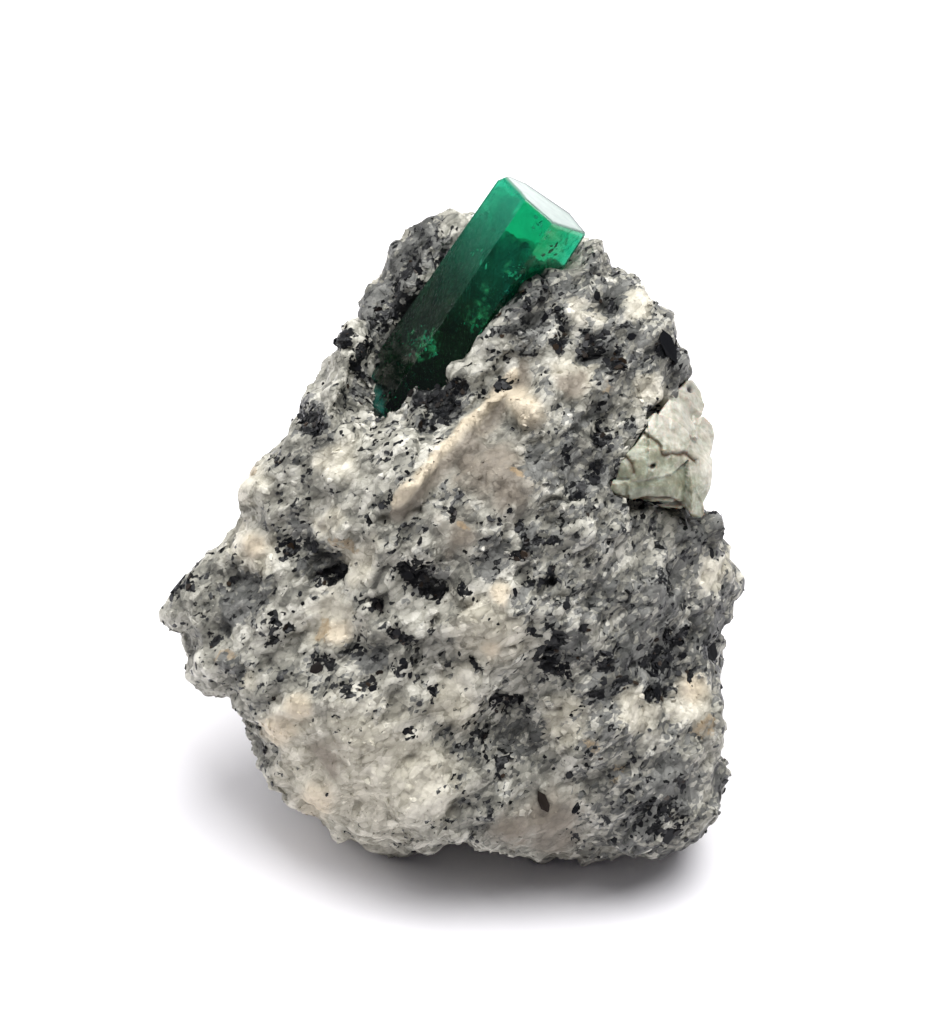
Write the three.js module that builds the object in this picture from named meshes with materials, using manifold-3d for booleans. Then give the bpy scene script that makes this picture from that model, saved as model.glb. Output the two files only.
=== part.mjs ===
// Emerald in matrix: a broken lump of quartz and mica rock that holds one hexagonal emerald prism in a
// notch near its top, and a block of pale green beryl in its right edge. Millimetres, +Z up.
// The lump's broad face leans back from upright, so the shapes are drawn in a leaning frame: u runs to the
// right, v up the broad face and w out of its front. Its zero is the lump's middle.

import * as THREE from "three";
import { ConvexGeometry } from "three/addons/geometries/ConvexGeometry.js";
import { mergeVertices } from "three/addons/utils/BufferGeometryUtils.js";
import Module from "manifold-3d";

const wasm = await Module();
wasm.setup();

// Driving dimensions
const LEAN = THREE.MathUtils.degToRad(40); // the broad face leans back this far from upright
const FRONT_DEPTH = 11.5; // the lump's reach in front of its middle, before its faces are broken off
const BACK_DEPTH = 12.5;
const BASE_DROP = 15.2; // from the lump's middle straight down to the face that it rests on
const CRYSTAL_LENGTH = 18.5;
const CRYSTAL_TIP = [5.04, 20.0, 3.6]; // middle of the emerald's free end, in u, v and w
const CRYSTAL_RISE = THREE.MathUtils.degToRad(56); // slope of the emerald's length across the broad face
const CRYSTAL_NOD = THREE.MathUtils.degToRad(9); // the free end leans out of the face by this
const SOCKET_GAP = 0.3; // between a crystal and the rock around it
const HEART = [-0.5, 1.5, -3.2]; // the lump's surface is all in plain sight from this point inside it
const GLOBE_DETAIL = 17; // the lump has 20 times the square of one more than this, in triangles

// Outline of the broad face, anticlockwise from the shoulder at the right of the emerald
const OUTLINE = [
  [7.6, 17.6], [4.1, 17.6], [0.8, 19.6], [-0.8, 20.0], [-2.2, 19.1], [-3.9, 17.4], [-5.1, 15.0],
  [-5.3, 13.0], [-6.4, 12.0], [-7.5, 10.1], [-9.0, 8.2], [-9.7, 6.2], [-11.4, 4.7], [-12.9, 3.2],
  [-12.4, 1.6], [-14.2, -0.3], [-16.5, -1.7], [-17.5, -3.1], [-16.5, -4.5], [-15.8, -6.2],
  [-14.4, -8.3], [-12.9, -9.1], [-12.2, -11.4], [-11.8, -12.9], [-8.7, -15.4], [-6.1, -17.2],
  [-3.7, -17.8], [-2.1, -17.7], [0.0, -17.0], [1.4, -17.3], [2.6, -18.1], [3.8, -18.5], [7.1, -18.3],
  [8.8, -17.8], [10.4, -18.3], [13.8, -17.7], [15.3, -15.3], [15.6, -11.8], [15.3, -8.5],
  [15.6, -6.3], [15.6, -3.2], [16.3, -1.8], [15.0, 0.7], [13.7, 2.2], [13.2, 4.5], [13.4, 7.0],
  [13.4, 10.0], [12.4, 12.7], [11.0, 14.1], [9.9, 15.8], [8.5, 16.6],
];
const SECTION_POWER = 2.7; // how square the lump is from front to back: 2 is an ellipse

// Flat faces where the lump was broken out: the way each faces, in u, v and w, and its distance from zero
const FRACTURES = [
  { face: "upper front", facing: [0.06, 0.38, 0.92], distance: 9.9 },
  { face: "lower front", facing: [0.04, -0.24, 0.97], distance: 10.3 },
  { face: "left wing", facing: [-0.52, 0.06, 0.85], distance: 10.6 },
  { face: "lower left", facing: [-0.5, -0.46, 0.73], distance: 13.4 },
  { face: "right side", facing: [0.58, 0.02, 0.81], distance: 11.7 },
  { face: "back", facing: [0.02, 0.12, -0.99], distance: 10.8 },
  { face: "back right", facing: [0.62, -0.12, -0.78], distance: 12.2 },
  { face: "back left", facing: [-0.6, 0.16, -0.78], distance: 11.0 },
  { face: "back top", facing: [0.12, 0.72, -0.68], distance: 16.2 },
  { face: "lower back", facing: [-0.1, -0.66, -0.75], distance: 17.2 },
];
const EDGE_EASE = 0.35; // how far the edges between broken faces are worn back

// Inside corners, where rock is missing beyond all of some faces
const NOTCHES = [
  {
    corner: "seat of the emerald, below the knob",
    faces: [
      { face: "rim", facing: [-0.6, 0.72, 0.35], distance: 9.65 },
      { face: "front of the knob", facing: [-0.25, 0.05, 0.97], distance: 1.6 },
      { face: "lower end", facing: [0.8, 0.25, 0.55], distance: 0.15 },
    ],
  },
  {
    corner: "ledge under the pale beryl",
    faces: [
      { face: "ledge", facing: [0.16, 0.97, 0.18], distance: 5.0 },
      { face: "wall", facing: [0.93, -0.05, 0.36], distance: 13.0 },
    ],
  },
];

// Lumps (positive) and hollows (negative): place on the broad face, side (1 front, -1 back), reach and height
const RELIEF = [
  { form: "pale bulge, lower left", at: [-5.4, -12.2], side: 1, reach: 4.6, height: 1.1 },
  { form: "grey bulge, lower right", at: [9.6, -9.4], side: 1, reach: 5.2, height: 1.0 },
  { form: "quartz lens", at: [2.2, 5.2], side: 1, reach: 3.0, height: 0.9 },
  { form: "white vein", at: [5.2, 8.4], side: 1, reach: 1.8, height: 0.8 },
  { form: "rim before the emerald", at: [2.4, 12.0], side: 1, reach: 2.8, height: 0.9 },
  { form: "pale block, middle", at: [2.4, -4.2], side: 1, reach: 2.6, height: 0.8 },
  { form: "mica hollow, middle", at: [-1.6, -2.6], side: 1, reach: 1.9, height: -1.0 },
  { form: "mica hollow, right", at: [8.4, 3.6], side: 1, reach: 2.2, height: -1.2 },
  { form: "mica hollow under the emerald", at: [-1.2, 7.9], side: 1, reach: 1.5, height: -0.9 },
  { form: "valley, lower middle", at: [3.0, -10.8], side: 1, reach: 2.2, height: -1.1 },
  { form: "mica hollow, left wing", at: [-8.6, -0.8], side: 1, reach: 2.0, height: -0.8 },
  { form: "hollow, lower left", at: [-6.0, -6.4], side: 1, reach: 1.9, height: -0.7 },
  { form: "mica hollow, right side", at: [12.4, -6.2], side: 1, reach: 2.2, height: -0.8 },
  { form: "back hump", at: [4.0, -4.0], side: -1, reach: 5.0, height: 1.3 },
  { form: "back hollow", at: [-6.0, 3.0], side: -1, reach: 3.6, height: -1.2 },
];

// Broken grain of the rock: the size of a grain, and how far its face stands off and tips
const GRAINS = [
  { size: 5.4, offset: 0.7, tip: 0.16, salt: 11 },
  { size: 2.6, offset: 0.42, tip: 0.14, salt: 23 },
];
const GRAIN_CRISPNESS = 9; // how sharply one grain gives way to the next: higher is sharper
const RIM_CALM = 5; // the grain is weaker within this distance of the outline, which has its own corners

// Emerald's six faces, anticlockwise seen from its free end: angle from the right, and distance from its axis
const PRISM_FACES = [
  { angle: 30, distance: 2.86 },
  { angle: 90, distance: 3.0 },
  { angle: 150, distance: 2.94 },
  { angle: 210, distance: 2.34 },
  { angle: 270, distance: 3.0 },
  { angle: 330, distance: 2.44 },
];
const END_BEVEL = 0.12; // worn edge around the emerald's free end
const CHIP = { facing: [-0.8, 0.1, 0.59], distance: 2.2 }; // broken corner, from the free end's middle

// Corners of the pale beryl block, in u, v and w
const BERYL_CORNERS = [
  [8.7, 2.9, 7.4], [9.3, 4.8, 8.0], [10.5, 6.6, 7.4], [12.1, 5.6, 7.5], [12.4, 2.4, 7.0],
  [13.8, 2.1, 5.0], [14.5, 4.6, 4.8], [14.9, 6.3, 2.8], [14.4, 8.2, 2.4], [13.6, 9.5, 2.0],
  [12.3, 8.8, 4.9], [10.0, 3.8, 0.6], [12.2, 8.2, -0.6], [13.6, 3.0, -0.2],
];

const MATERIALS = {
  matrix: new THREE.MeshStandardMaterial({ color: 0x8f8d88, roughness: 0.75, metalness: 0 }),
  emerald: new THREE.MeshStandardMaterial({ color: 0x0a8a5c, roughness: 0.08, metalness: 0 }),
  beryl: new THREE.MeshStandardMaterial({ color: 0xc3c9b4, roughness: 0.3, metalness: 0 }),
};

// From the leaning frame to the part's own: turned upright, and raised until the resting face is at height 0
const toUpright = new THREE.Matrix4()
  .makeTranslation(0, 0, BASE_DROP)
  .multiply(new THREE.Matrix4().makeRotationX(Math.PI / 2 - LEAN));

// A closed geometry as a solid, from its corner positions alone.
function solidOf(geometry) {
  const bare = new THREE.BufferGeometry().setAttribute("position", geometry.getAttribute("position"));
  bare.setIndex(geometry.index);
  const merged = mergeVertices(bare, 1e-4);
  const vertProperties = new Float32Array(merged.getAttribute("position").array);
  const triVerts = new Uint32Array(merged.index.array);
  return new wasm.Manifold(new wasm.Mesh({ numProp: 3, vertProperties, triVerts }));
}

// A solid as a named mesh.
function meshOf(name, solid, material) {
  const { vertProperties, triVerts } = solid.getMesh();
  const geometry = new THREE.BufferGeometry()
    .setAttribute("position", new THREE.BufferAttribute(vertProperties, 3))
    .setIndex(new THREE.BufferAttribute(triVerts, 1));
  geometry.computeVertexNormals();
  const mesh = new THREE.Mesh(geometry, material);
  mesh.name = name;
  return mesh;
}

// A repeatable number from -1 to 1 for a whole-number point of space.
function scatter(i, j, k, salt) {
  let h = Math.imul(i, 374761393) + Math.imul(j, 668265263) + Math.imul(k, 1440662683);
  h = Math.imul(h + Math.imul(salt, 974634493), 1274126177);
  h = Math.imul(h ^ (h >>> 15), 2246822519);
  return ((h ^ (h >>> 13)) >>> 0) / 2147483647.5 - 1;
}

// How far a grain's broken face stands off the lump at a point. Each scattered grain centre nearby has its
// own offset, and a slope that grows away from it, and the nearest centre counts for most.
function grainHeight(point, { size, offset, tip, salt }) {
  const cell = point.clone().divideScalar(size);
  const base = cell.clone().floor();
  let [sum, total] = [0, 0];
  for (let n = 0; n < 27; n++) {
    const step = [n % 3, Math.floor(n / 3) % 3, Math.floor(n / 9)];
    const [i, j, k] = base.toArray().map((corner, axis) => corner + step[axis] - 1);
    const drift = (axis) => 0.5 + 0.45 * scatter(i, j, k, salt + axis);
    const away = cell.clone().sub(new THREE.Vector3(i + drift(1), j + drift(2), k + drift(3)));
    const slope = new THREE.Vector3(...[4, 5, 6].map((axis) => scatter(i, j, k, salt + axis)));
    const weight = Math.exp(-GRAIN_CRISPNESS * away.lengthSq());
    sum += weight * (offset * scatter(i, j, k, salt + 7) + tip * size * slope.dot(away));
    total += weight;
  }
  return sum / total;
}

// Distance from the middle to the outline along an angle: where that ray crosses the outline's straight side.
function outlineReach(angle) {
  const [ca, sa] = [Math.cos(angle), Math.sin(angle)];
  for (let i = 0; i < OUTLINE.length; i++) {
    const [ax, ay] = OUTLINE[i];
    const [bx, by] = OUTLINE[(i + 1) % OUTLINE.length];
    const [before, after] = [ca * ay - sa * ax, ca * by - sa * bx];
    const crossing = (before * bx - after * ax) * ca + (before * by - after * ay) * sa;
    if (before <= 0 && after > 0) return crossing / (before - after);
  }
  throw new Error("the outline doesn't go round its middle");
}

// How far a point is beyond a flat face, less than 0 where it is behind the face.
function beyondFace({ facing, distance }, point) {
  return new THREE.Vector3(...facing).normalize().dot(point) - distance;
}

// How far a point is beyond the rounded block that has the outline for its rim.
function beyondBlock(point) {
  const rim = outlineReach(Math.atan2(point.y, point.x));
  const depth = point.z > 0 ? FRONT_DEPTH : BACK_DEPTH;
  const across = (Math.hypot(point.x, point.y) / rim) ** SECTION_POWER;
  const deep = (Math.abs(point.z) / depth) ** SECTION_POWER;
  return point.length() * (1 - (across + deep) ** (-1 / SECTION_POWER));
}

// How far a point is beyond the lump: the most that it is beyond the block, a broken face or a notch, with
// the edges between them eased.
function beyondLump(point) {
  const excess = [
    beyondBlock(point),
    ...FRACTURES.map((face) => beyondFace(face, point)),
    ...NOTCHES.map(({ faces }) => Math.min(...faces.map((face) => beyondFace(face, point)))),
  ];
  const most = Math.max(...excess);
  return most + EDGE_EASE * Math.log(excess.reduce((sum, e) => sum + Math.exp((e - most) / EDGE_EASE), 0));
}

// The lump's surface along a direction from its heart: found by halving, then raised by lumps and grain.
function lumpSurface(direction) {
  const heart = new THREE.Vector3(...HEART);
  const along = (reach) => direction.clone().multiplyScalar(reach).add(heart);
  let [inside, outside] = [0, 40];
  while (outside - inside > 1e-4) {
    const half = (inside + outside) / 2;
    if (beyondLump(along(half)) < 0) inside = half;
    else outside = half;
  }
  const point = along(inside);
  let height = 0;
  for (const { at, side, reach, height: peak } of RELIEF) {
    const off = Math.hypot(point.x - at[0], point.y - at[1]) / reach;
    if (Math.sign(point.z) === side) height += peak * Math.exp(-off * off);
  }
  const calm = 0.4 + 0.6 * Math.min(1, Math.abs(point.z) / RIM_CALM);
  for (const grain of GRAINS) height += calm * grainHeight(point, grain);
  return along(inside + height);
}

// The lump before its sockets and resting face are cut: a globe of directions pushed out to the surface.
function lump() {
  const globe = new THREE.IcosahedronGeometry(1, GLOBE_DETAIL);
  globe.deleteAttribute("normal");
  globe.deleteAttribute("uv");
  const skin = mergeVertices(globe, 1e-4);
  const position = skin.getAttribute("position");
  for (let i = 0; i < position.count; i++) {
    const direction = new THREE.Vector3().fromBufferAttribute(position, i).normalize();
    position.setXYZ(i, ...lumpSurface(direction));
  }
  return solidOf(skin);
}

// A solid half-space as a large slab whose near face lies across a direction, at a distance from zero.
function slab({ facing, distance }) {
  const size = 200;
  const normal = new THREE.Vector3(...facing).normalize();
  const block = new THREE.BoxGeometry(size, size, size).translate(0, 0, size / 2 + distance);
  block.applyQuaternion(new THREE.Quaternion().setFromUnitVectors(new THREE.Vector3(0, 0, 1), normal));
  return solidOf(block);
}

// The emerald, grown by a margin all round, with its free end at height 0 and its length below.
function prism(margin) {
  const corners = PRISM_FACES.map((face, i) => {
    const next = PRISM_FACES[(i + 1) % PRISM_FACES.length];
    const [a, b] = [face, next].map(({ angle }) => THREE.MathUtils.degToRad(angle));
    const [da, db] = [face.distance + margin, next.distance + margin];
    const turn = Math.sin(b - a);
    return new THREE.Vector2(
      (da * Math.sin(b) - db * Math.sin(a)) / turn,
      (db * Math.cos(a) - da * Math.cos(b)) / turn,
    );
  });
  const depth = CRYSTAL_LENGTH + 2 * margin - 2 * END_BEVEL;
  const body = new THREE.ExtrudeGeometry(new THREE.Shape(corners), {
    depth,
    bevelSegments: 1,
    bevelSize: END_BEVEL,
    bevelOffset: -END_BEVEL,
    bevelThickness: END_BEVEL,
  });
  body.translate(0, 0, margin - END_BEVEL - depth);
  return solidOf(body).subtract(slab({ ...CHIP, distance: CHIP.distance + margin }));
}

// Where the emerald lies in the leaning frame: its length up to the right, its fifth face towards the front.
function crystalPlace() {
  const [rise, nod] = [CRYSTAL_RISE, CRYSTAL_NOD];
  const across = new THREE.Vector3(Math.cos(rise), Math.sin(rise), 0);
  const along = across.multiplyScalar(Math.cos(nod)).setZ(Math.sin(nod));
  const right = new THREE.Vector3(Math.sin(rise), -Math.cos(rise), 0);
  const back = along.clone().cross(right);
  return new THREE.Matrix4().makeBasis(right, back, along).setPosition(...CRYSTAL_TIP);
}

// The pale beryl block, with its corners moved out from its middle by a margin.
function berylBlock(margin) {
  const corners = BERYL_CORNERS.map((corner) => new THREE.Vector3(...corner));
  const middle = new THREE.Box3().setFromPoints(corners).getCenter(new THREE.Vector3());
  corners.forEach((corner) => corner.add(corner.clone().sub(middle).setLength(margin)));
  return solidOf(new ConvexGeometry(corners));
}

const upright = (solid, place = new THREE.Matrix4()) =>
  solid.transform(toUpright.clone().multiply(place).elements);

const emerald = upright(prism(0), crystalPlace());
const beryl = upright(berylBlock(0));
const matrix = upright(lump())
  .subtract(upright(prism(SOCKET_GAP), crystalPlace()))
  .subtract(upright(berylBlock(1.6 * SOCKET_GAP)))
  .subtract(slab({ facing: [0, 0, -1], distance: 0 }));

const specimen = new THREE.Group();
specimen.add(
  meshOf("matrix", matrix, MATERIALS.matrix),
  meshOf("emerald_crystal", emerald, MATERIALS.emerald),
  meshOf("pale_beryl", beryl, MATERIALS.beryl),
);

// The part's zero is the middle of its resting side
const bounds = new THREE.Box3().setFromObject(specimen);
const middle = bounds.getCenter(new THREE.Vector3());
specimen.children.forEach((piece) => piece.position.set(-middle.x, -middle.y, -bounds.min.z));

export default specimen;
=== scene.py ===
"""Emerald in matrix: a hexagonal emerald prism in a broken lump of quartz and mica rock, with a block of
pale beryl in its edge. Shapes are worked out in millimetres and put into the meshes in metres."""

import bpy
import numpy as np
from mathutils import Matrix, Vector


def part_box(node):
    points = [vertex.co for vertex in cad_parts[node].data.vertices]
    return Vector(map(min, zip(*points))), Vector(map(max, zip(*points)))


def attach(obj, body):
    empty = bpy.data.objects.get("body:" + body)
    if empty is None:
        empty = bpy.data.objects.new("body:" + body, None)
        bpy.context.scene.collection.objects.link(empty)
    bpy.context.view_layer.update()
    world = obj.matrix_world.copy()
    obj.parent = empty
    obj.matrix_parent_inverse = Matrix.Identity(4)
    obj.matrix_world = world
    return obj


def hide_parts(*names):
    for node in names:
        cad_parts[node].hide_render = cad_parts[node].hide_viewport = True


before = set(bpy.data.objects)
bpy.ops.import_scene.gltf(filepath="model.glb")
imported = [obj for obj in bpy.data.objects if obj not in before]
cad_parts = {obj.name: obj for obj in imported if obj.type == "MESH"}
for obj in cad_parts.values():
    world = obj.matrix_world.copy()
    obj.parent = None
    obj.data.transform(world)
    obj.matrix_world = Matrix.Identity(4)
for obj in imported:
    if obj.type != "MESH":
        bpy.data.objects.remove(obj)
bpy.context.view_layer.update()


# Matrix: the lump that holds the crystals, broken out of the wall of a vein. It is quartz and feldspar in
# grains of up to two millimetres with black mica between them, all grown together as one piece of rock.
# It stands on its own flat underside, and its broad face leans back.

MM = 0.001
LEAN = np.radians(40)  # the broad face leans back this far from upright
ACROSS = np.array([1.0, 0.0, 0.0])
FACE_UP = np.array([0.0, np.sin(LEAN), np.cos(LEAN)])
FACE_OUT = np.array([0.0, -np.cos(LEAN), np.sin(LEAN)])
LUMP_MIDDLE = np.array([0.58, -0.153, 15.2])
FACE_MIDDLE = LUMP_MIDDLE - 0.58 * ACROSS + 1.62 * FACE_UP  # zero of the places on the broad face
HEART = LUMP_MIDDLE - 0.5 * ACROSS + 1.5 * FACE_UP - 3.2 * FACE_OUT  # the whole skin is in sight from here
VIEW_DISTANCE = 320.0  # the broad face's places are given as seen from here
SKIN_SQUARES = 127  # along each edge of the cube of directions
FRONT_BIAS = 0.3  # the directions crowd towards the broad face by this
SHELL_RADIUS = 45.0
EVENING_STEPS = 12  # rounds that spread the corners evenly before the shell goes back to the solid
EASING_STEPS = 4  # rounds that then wear the solid's flat facets together
CLOSE_GAP = 0.8  # rock that stops short of a crystal by less than this is brought up to it
CONTACT = 0.04
FOLIATION = -0.6 * ACROSS + 0.75 * FACE_UP + 0.28 * FACE_OUT  # across the layers of the rock
FOLIATION_PRESS = 0.6  # forms are thinner across the layers by one over one more than this
GRAIN_PRESS = 0.5  # the same for the grains' colours
GRAIN_SIZES = (1.4, 0.65, 0.3)  # of the grains in the colours
SCALLOP_SIZE, BLOCK_SIZE, LUMP_SIZE = 3.4, 1.7, 0.85  # of the forms in the broken surface
PIT_SPACING = 2.1
PIT_REACH = 0.42
PITTED_SHARE = 0.3  # of the places where a pit could be
RIM_DEPTH = 4.0  # of the lump's rim behind the middle of the broad face
RIM_RUN = 3.0  # the front's own patches and forms come in over this way from the rim
SEAT_MOUTH = 8.0  # up the broad face, where the emerald comes out of the rock

# Places on the broad face, each across, up and reach
# Mica patches. Those on the knob left of the emerald, from about -5 to -0.5 across and 9.5 to 17 up, are
# partly real mica and partly painted shade beside the crystal.
MICA_AND_SHADE_PATCHES = [
    (-0.6, 6.7, 1.5), (0.4, 7.6, 0.6), (1.8, 7.1, 0.6), (3.2, 8.0, 0.5), (-0.9, 16.9, 0.5),
    (-1.5, 16.0, 0.5), (-2.0, 14.9, 0.8), (-2.5, 12.4, 0.7), (-3.4, 12.6, 0.7), (-4.7, 10.3, 0.8),
    (6.4, 11.7, 0.6), (6.7, 10.3, 0.8), (8.7, 10.5, 0.9), (9.5, 12.7, 0.6), (10.0, 9.3, 1.0),
    (12.5, 5.9, 0.7), (9.2, 4.9, 1.0), (8.6, 2.7, 0.9), (8.0, 1.6, 0.8), (7.0, 3.6, 0.6), (-8.2, 5.9, 1.0),
    (-9.7, 3.4, 0.4), (-7.3, 1.6, 0.4), (-3.7, 0.9, 0.4), (-4.8, -0.3, 0.4), (-9.4, -2.0, 0.8),
    (-8.2, -1.9, 0.5), (-7.2, -3.3, 0.9), (-4.1, -5.3, 0.6), (-1.7, -3.4, 1.1), (-0.8, -4.6, 1.0),
    (-2.4, -2.8, 0.6), (0.0, 0.3, 0.5), (4.5, -1.8, 0.8), (6.0, -1.4, 0.7), (4.3, -0.4, 0.6),
    (4.7, -3.6, 0.7), (1.1, -4.5, 0.5), (5.8, -3.4, 0.4), (-10.2, -6.0, 0.6), (-10.0, -7.0, 0.5),
    (-9.3, -6.3, 0.4), (-14.1, -6.7, 0.5), (-15.9, -3.8, 0.7), (-7.7, -8.8, 0.7), (-5.2, -8.1, 0.6),
    (-3.0, -7.1, 0.7), (-2.5, -8.6, 0.5), (-4.9, -9.7, 0.6), (-5.7, -10.1, 0.4), (-1.1, -10.3, 0.5),
    (-2.2, -12.3, 0.4), (-6.1, -11.8, 0.4), (6.2, -7.3, 0.9), (6.0, -8.6, 0.7), (6.9, -9.2, 0.5),
    (7.9, -6.4, 0.5), (9.3, -8.1, 0.8), (12.4, -8.6, 1.2), (10.5, -10.0, 0.6), (12.6, -10.2, 0.6),
    (8.8, -10.5, 0.5), (12.8, -3.7, 0.6), (13.9, -5.2, 0.6), (13.4, -6.8, 0.7), (15.5, -7.9, 0.7),
    (3.2, -10.8, 0.7), (1.3, -8.9, 0.4), (3.5, -14.3, 0.7), (2.4, -12.9, 0.5), (11.6, -17.4, 0.7),
    (12.9, -17.2, 0.5), (12.8, -18.8, 0.8), (9.0, -17.7, 0.4), (7.5, -18.9, 0.4), (7.7, -17.0, 0.4),
    (10.9, -14.2, 0.4), (13.7, -15.7, 0.5), (13.1, 10.2, 0.9), (-6.2, 10.5, 0.7), (-2.9, 13.7, 0.7),
    (-1.2, 14.1, 0.6), (-3.2, 11.6, 0.8), (-4.2, 11.7, 0.6), (-1.9, 13.2, 0.6), (-5.2, 9.5, 0.6),
    (-0.6, 15.6, 0.5), (-12.1, 2.0, 0.5), (14.3, -8.9, 0.5), (5.1, -6.6, 0.6), (5.4, -8.0, 0.6),
]
# Smoky patches. Those on the knob left of the emerald, from about -5 to -1 across and 11 to 17.5 up, are
# partly real smoky quartz and partly painted shade beside the crystal.
SMOKY_AND_SHADE_PATCHES = [
    (5.5, 3.2, 1.6), (7.1, 3.5, 1.4), (8.4, 2.4, 1.7), (9.2, 4.8, 1.2), (2.7, -2.2, 1.5), (5.0, -1.4, 1.3),
    (7.0, -7.6, 1.8), (12.2, -4.4, 2.0), (10.8, -8.4, 2.0), (13.6, -7.2, 1.4), (4.2, -12.9, 1.5),
    (13.2, -15.6, 2.2), (11.4, -17.4, 1.5), (-12.2, -4.8, 1.9), (-12.8, -9.0, 1.0), (-8.8, -1.0, 0.9),
    (-7.6, -2.6, 1.3), (-2.8, 13.2, 1.8), (-3.8, 11.2, 1.6), (-1.9, 15.1, 1.5), (-4.4, 13.0, 1.3),
    (9.7, 12.9, 1.3), (9.4, 9.8, 1.9), (8.3, 15.0, 0.9), (7.0, 13.0, 1.0), (5.0, 11.4, 0.9),
    (7.6, 5.6, 1.3), (-1.2, 16.2, 1.3), (-3.3, 14.3, 1.3), (-2.4, 12.0, 1.4), (-4.9, 12.2, 1.1),
    (-1.0, 17.4, 0.8), (-4.0, 15.4, 1.2), (-2.2, 17.3, 1.0), (-4.2, -8.4, 1.1), (-1.2, -3.8, 1.6),
    (-0.6, 6.6, 1.9), (-8.0, 6.0, 1.3), (4.9, -4.0, 0.9),
]
PALE_PATCHES = [
    (8.0, 12.0, 0.7), (11.4, 12.5, 0.7), (12.0, 7.4, 1.1), (7.4, 8.4, 1.2), (-11.6, -1.8, 1.3),
    (-6.9, -0.3, 0.9), (-5.3, -2.4, 1.3), (-6.9, -5.9, 1.6), (-12.0, -9.7, 0.8), (-8.9, -12.1, 1.5),
    (2.5, -6.6, 2.2), (0.4, -10.8, 1.8), (6.8, -11.8, 1.5), (11.4, -11.7, 1.5), (14.5, -10.8, 1.4),
    (15.8, -3.1, 1.2), (-4.9, -15.1, 4.6), (-1.7, -15.6, 2.8), (-8.4, -14.6, 2.0), (-11.8, 2.4, 1.4),
    (-6.6, 3.6, 1.3),
]
CREAM_PATCHES = [
    (4.9, 6.1, 0.95), (4.2, 7.0, 0.8), (3.4, 7.5, 0.5), (-11.4, -1.7, 0.7), (-9.9, -12.4, 1.0),
    (-8.6, -11.2, 0.8), (-7.7, -16.6, 1.0), (-6.5, -6.8, 0.7), (3.0, -4.5, 0.6), (2.6, -7.5, 0.6),
    (14.6, -9.9, 0.9),
]
TAN_PATCHES = [
    (2.6, 2.7, 1.8), (3.9, 1.5, 1.3), (1.2, 3.4, 1.0), (-7.2, -13.9, 1.1), (6.2, -17.8, 2.0),
    (3.9, -18.4, 1.2), (7.2, 8.0, 0.9), (0.4, -0.9, 1.1),
]
RUST_PATCHES = [
    (-7.5, -6.5, 0.5), (-6.1, -1.6, 0.6), (8.2, -13.4, 0.6), (9.8, -15.0, 0.6), (-13.2, -8.4, 0.6),
    (0.8, -0.4, 0.5), (15.2, -12.4, 0.7), (4.4, 1.9, 0.5), (-11.6, 3.0, 0.5), (9.2, 7.6, 0.5),
]
CREAM_VEIN = [(3.7, 8.4), (2.1, 6.2), (0.6, 4.7), (-0.9, 3.4), (-1.9, 2.1), (-3.0, 0.9)]
VEIN_HALF_WIDTH = 0.38
# The band below the vein is darker tan partly by its own colour and partly as painted shade on the ledge's
# drop face.
VEIN_SHADE_WIDTH = 1.3  # of the smooth tan band that borders the vein below

# Forms of the broad face, each across, up, reach and rise
MOUNDS = [
    (6.0, 13.9, 1.0, 1.2), (5.0, 13.0, 1.0, 1.2), (3.9, 11.9, 1.0, 1.0), (2.1, 10.5, 1.0, 0.7),
    (0.6, 9.0, 1.0, 0.7), (-0.9, 7.5, 0.9, 0.6), (-3.0, 6.5, 1.1, -0.9), (-4.8, 8.4, 0.9, -1.0),
    (3.0, 2.4, 2.2, 0.8), (3.4, -6.6, 1.7, 0.6), (5.0, -8.0, 1.3, -0.5), (-6.0, -12.0, 2.6, 0.5),
    (7.6, 3.0, 1.8, -0.5), (-1.6, -3.9, 1.3, -0.25), (3.4, -12.4, 1.5, -0.4), (-7.7, -8.8, 0.5, -0.4),
    (10.6, -8.4, 2.0, -0.5), (-4.1, -5.3, 0.5, -0.5), (-3.6, 16.2, 1.1, 0.8), (-5.4, 12.2, 0.9, 0.7),
]
# Ledges of the broad face, each a line of places, its height, and the run of its drop on the left
LEDGES = [
    (CREAM_VEIN, 0.32, 0.8),
    ([(5.9, 6.8), (5.7, 5.8), (4.5, 5.2), (3.7, 6.0)], 0.45, 0.4),
    ([(-11.9, -11.7), (-9.6, -9.1), (-6.4, -6.5)], 0.6, 1.2),
    ([(6.6, -6.6), (12.6, -3.2)], 0.4, 0.8),
]
LEDGE_SLOPE = 1.6  # way back from a ledge's line in which its height falls to about a third
LEDGE_END, LEDGE_FADE = 0.7, 1.5  # a ledge ends this far past its line's ends, and fades over this way


def cube_shell(squares):
    """Corners from -1 to 1 and four-sided faces of a cube's skin: six grids of two parameters, one on each
    side, whose shared edges are the same corners."""
    one, two = np.meshgrid(np.arange(squares + 1), np.arange(squares + 1), indexing="ij")
    low, high = np.zeros_like(one), np.full_like(one, squares)
    sides = [
        (high, one, two), (low, two, one), (two, high, one),
        (one, low, two), (one, two, high), (two, one, low),
    ]
    corners = np.stack([np.stack(side, -1) for side in sides])
    shared, place = np.unique(corners.reshape(-1, 3), axis=0, return_inverse=True)
    place = place.reshape(corners.shape[:3])
    rings = [place[:, :-1, :-1], place[:, 1:, :-1], place[:, 1:, 1:], place[:, :-1, 1:]]
    return 2.0 * shared / squares - 1.0, np.stack(rings, -1).reshape(-1, 4)


def unit(vectors):
    """Vectors divided by their lengths."""
    return vectors / np.linalg.norm(vectors, axis=-1, keepdims=True)


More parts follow.
